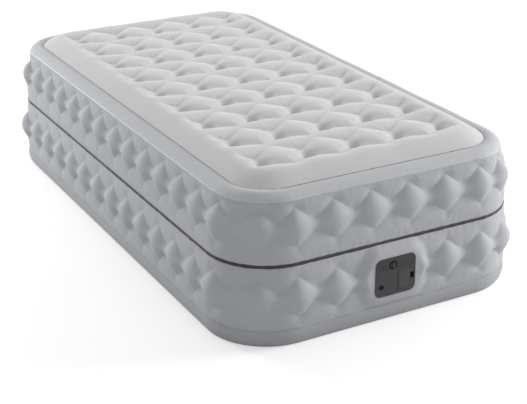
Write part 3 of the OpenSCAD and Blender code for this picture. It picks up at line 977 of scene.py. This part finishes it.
lower = build_wall("lower_wall", (BASE_IN, BASE_SEAM_Z), (WAIST_IN, WAIST_LOW), rise=0.022,
                   levels=LOWER_SEAMS, seed=47, opening=True)
place(lower, "lower_side_wall", "base", mat_wall)

rim = plain_ring("rim_band", (RIM_IN, RIM_SEAM_HIGH), (TOP_SEAM_IN, TOP_SEAM_Z), rise=0.010, rows=15,
                 pucker=0.0007, seed=61)
place(rim, "top_rim", "deck", mat_rim)

band_top = (BASE_IN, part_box("base_seam")[0][2])
band = plain_ring("base_wall", (FOOT_IN, FLAT), band_top, rise=0.006, rows=11, pucker=0.0009, seed=71)
# the base band wears the darker copy of the wall flocking, which is painted shade
place(band, "base_band", "base", mat_base_painted_shade)

rim_bead = bead("rim_weld", RIM_IN + 0.0015, (RIM_SEAM_LOW + RIM_SEAM_HIGH) / 2, radius=0.0026,
                wobble=0.0006, seed=81)
place(rim_bead, "rim_seam", "deck", mat_bead)

top_bead = bead("top_weld", TOP_SEAM_IN + 0.003, TOP_SEAM_Z - 0.0035, radius=0.0034, wobble=0.0004,
                seed=83)
place(top_bead, "top_seam", "deck", mat_rim)

# the waist bead wears the painted shadow of the groove at the waist
waist_bead = bead("waist_weld", WAIST_IN + 0.004, (WAIST_LOW + WAIST_HIGH) / 2, radius=0.0068,
                  wobble=0.0004, seed=85)
place(waist_bead, "waist_seam", "base", mat_waist_painted_shadow)

base_bead = bead("base_weld", BASE_IN + 0.0025, BASE_SEAM_Z - 0.002, radius=0.0030, wobble=0.0005,
                 seed=87)
place(base_bead, "base_seam", "base", mat_wall)

floor_sheet = build_bottom()
place(floor_sheet, "bottom_sheet", "base", mat_inner)

# inside the upper chamber
upper_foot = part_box("upper_beams")[0][2]
strip_top = TOP_HIGH - 0.006 - weld_drop(STRIP_X, NECK_DEPTH + 0.020, APEX_DEPTH)
beams = zigzag_strips("upper_strips", upper_foot, strip_top)
place(beams, "upper_beams", "base", mat_inner)
web_low, web_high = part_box("upper_side_webs")
webs = web_rings("upper_webs", (web_low[2], web_high[2]), (WAIST_IN + 0.010, RIM_IN + 0.004))
place(webs, "upper_side_webs", "base", mat_inner)

# inside the lower chamber
strip_low, strip_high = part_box("lower_beams")
strips = zigzag_strips("lower_strips", strip_low[2], strip_high[2])
place(strips, "lower_beams", "base", mat_inner)
web_low, web_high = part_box("lower_side_webs")
ties = web_rings("lower_webs", (web_low[2], web_high[2]), (BASE_IN + 0.008, WAIST_IN + 0.006), gap=0.09)
place(ties, "lower_side_webs", "base", mat_inner)
partition = build_partition()
place(partition, "mid_sheet", "base", mat_inner)

# the upper chamber's pieces each get a mesh of their own
WALL_TALL = RIM_SEAM_LOW - WAIST_HIGH
for piece, foot, tall in ((upper, WAIST_HIGH, WALL_TALL), (webs, WAIST_HIGH, WALL_TALL),
                          (beams, upper_foot, strip_top.min() - upper_foot)):
    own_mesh(piece)

# ---------------------------------------------------------------- pump and other carried-over nodes
mat_panel = plastic("panel_plastic", (0.050, 0.051, 0.053), rough=0.55)
mat_strip = plastic("strip_plastic", (0.042, 0.043, 0.045), rough=0.42, wear=0.1)
mat_dark = plastic("dark_plastic", (0.025, 0.025, 0.027), rough=0.45)
mat_light = plastic("light_plastic", (0.50, 0.50, 0.48), rough=0.45, wear=0.0)
mat_label = vinyl("label_film", (0.075, 0.076, 0.079), rough=0.35, bump=0.0001)
mat_mark = vinyl("mark_ink", (0.03, 0.03, 0.032), rough=0.4, bump=0.0001)
mat_steel = metal("bright_steel", (0.62, 0.62, 0.63))
mat_copper = windings("copper_windings")
mat_rubber = plastic("cord_rubber", (0.02, 0.02, 0.021), rough=0.62, wear=0.05)
mat_collar = vinyl("collar_vinyl", (0.55, 0.56, 0.58), rough=0.35)

NODE_LOOKS = {
    "pump_collar": mat_collar, "pump_housing": mat_panel, "faceplate": mat_panel,
    "control_strip": mat_strip, "icon_marks": mat_mark, "selector_knob": mat_panel,
    "valve_rotor": mat_light, "cord_door": mat_panel, "door_label": mat_label,
    "hinge_pin": mat_steel, "power_cord": mat_rubber, "plug_body": mat_dark,
    "plug_blades": mat_steel, "intake_grille": mat_dark, "motor_can": mat_steel,
    "motor_end_cap": mat_dark, "motor_screws": mat_steel, "armature": mat_copper,
    "motor_shaft": mat_steel, "impeller": mat_light, "blower_scroll": mat_panel,
    "scroll_cover": mat_dark, "valve_poppet": mat_light, "poppet_seal": mat_rubber,
    "valve_spring": mat_steel, "valve_spider": mat_dark, "switch_body": mat_dark,
}
for node, mat in NODE_LOOKS.items():
    paint(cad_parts[node], mat)

# rounded edges on the moulded nodes
for node, width in (("faceplate", 0.0006), ("cord_door", 0.0005), ("selector_knob", 0.0009),
                    ("plug_body", 0.0015), ("pump_collar", 0.0009), ("control_strip", 0.0002)):
    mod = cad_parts[node].modifiers.new("edge", "BEVEL")
    mod.width = width
    mod.segments = 2
    mod.limit_method = "ANGLE"
    mod.angle_limit = math.radians(40)
    mod.harden_normals = True

# ---------------------------------------------------------------- floor, light, camera
AMBIENT = 0.49                         # strength of the even surround
FLOOR_GLOW = 0.42                      # extra brightness of the floor, in the picture only
FLOOR_BOUNCE = 0.75                    # share of the light that the floor throws back up
LIGHTS = (                             # name, place, aim, side of the square, watts
    ("overhead", (0.2, 0.4, 3.4), (0, 0, 0.2), 2.6, 12),
    ("rear_right", (2.6, 3.4, 2.8), (0, 0, 0.3), 1.8, 33),
    ("right", (3.6, -1.7, 1.3), (0.2, -0.6, 0.25), 1.4, 104),
    ("rear_left", (-2.1, 3.6, 1.3), (-0.4, -0.2, 0.25), 1.4, 90),
)
CAMERA_PLACE = (-1.7755, -3.3996, 1.6743)
CAMERA_TURN = (-28.97, 23.28, -0.13)   # azimuth, elevation and roll in degrees
FOCAL = 2.392                          # focal length and picture centre, in picture widths
CENTRE = (-0.0119, -0.0054)


def white_stage():
    """A plain pale floor, brighter to the camera than to the object, and a soft even surround."""
    reach = 14
    corners = [(-reach, -reach, 0), (reach, -reach, 0), (reach, reach, 0), (-reach, reach, 0)]
    floor = mesh_object("floor", corners, [(0, 1, 2, 3)])
    floor.location.z = -0.0002
    n = Nodes("floor_white")
    n.surface(Base_Color=(0.82, 0.82, 0.82, 1), Roughness=0.9, Emission_Color=(1, 1, 1, 1),
              Emission_Strength=FLOOR_GLOW)
    dull = n.add("ShaderNodeBsdfDiffuse")
    dull.inputs["Color"].default_value = (FLOOR_BOUNCE, FLOOR_BOUNCE, FLOOR_BOUNCE, 1)
    pick = n.add("ShaderNodeMixShader")
    n.link(n.add("ShaderNodeLightPath").outputs["Is Camera Ray"], pick.inputs[0])
    n.link(dull.outputs[0], pick.inputs[1])
    n.link(n.skin.outputs[0], pick.inputs[2])
    n.link(pick.outputs[0], n.out.inputs[0])
    floor.data.materials.append(n.mat)
    world = bpy.data.worlds.new("studio")
    bpy.context.scene.world = world
    world.use_nodes = True
    world.node_tree.nodes["Background"].inputs[0].default_value = (1, 1, 1, 1)
    world.node_tree.nodes["Background"].inputs[1].default_value = AMBIENT


def soft_light(name, spot, aim, size, power):
    """A square area light at a spot, turned towards its aim."""
    data = bpy.data.lights.new(name, "AREA")
    data.shape = "RECTANGLE"
    data.size = data.size_y = size
    data.energy = power
    obj = bpy.data.objects.new(name, data)
    obj.location = spot
    obj.rotation_euler = (Vector(aim) - Vector(spot)).to_track_quat("-Z", "Y").to_euler()
    bpy.context.scene.collection.objects.link(obj)


def photo_camera():
    """Camera at the photograph's angle."""
    a, e, r = (math.radians(v) for v in CAMERA_TURN)
    back = Vector((math.sin(a) * math.cos(e), -math.cos(a) * math.cos(e), math.sin(e)))
    right = Vector((math.cos(a), math.sin(a), 0))
    up = back.cross(right)
    rolled = (right * math.cos(r) + up * math.sin(r), up * math.cos(r) - right * math.sin(r), back)
    data = bpy.data.cameras.new("photo")
    data.lens = data.sensor_width * FOCAL
    data.shift_x, data.shift_y = CENTRE
    obj = bpy.data.objects.new("photo", data)
    obj.matrix_world = Matrix.Translation(CAMERA_PLACE) @ Matrix(rolled).transposed().to_4x4()
    bpy.context.scene.collection.objects.link(obj)
    bpy.context.scene.camera = obj


white_stage()
for light in LIGHTS:
    soft_light(*light)
photo_camera()
bpy.context.scene.view_settings.view_transform = "Standard"
